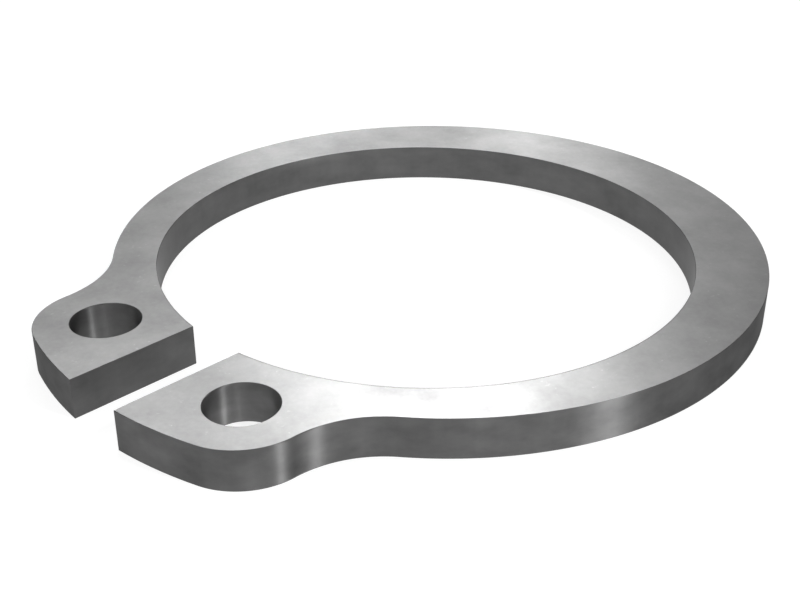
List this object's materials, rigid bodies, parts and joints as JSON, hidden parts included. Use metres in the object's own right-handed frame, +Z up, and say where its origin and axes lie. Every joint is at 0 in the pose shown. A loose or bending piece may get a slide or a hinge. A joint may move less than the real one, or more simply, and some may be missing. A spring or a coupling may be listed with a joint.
{
  "type": "circlip retaining ring",
  "caption": "Flat spring-steel retaining ring with an open, eccentric rim and drilled plier lugs, snapped into a groove on a shaft to hold parts in place.",
  "frame": {"origin": "centre of the bore, on the underside that the ring rests on", "axes": "+Z up along the bore axis through the thickness, -Y towards the gap and the lugs, +Y towards the widest stretch of the rim"},
  "size_m": [0.0202, 0.0228, 0.0012],
  "materials": {
    "spring_steel": "bare spring steel, satin and faintly mottled on the flat faces, darker on the blanked edges"
  },
  "bodies": {
    "root": {"retaining_ring": "spring_steel"}
  },
  "joints": []
}
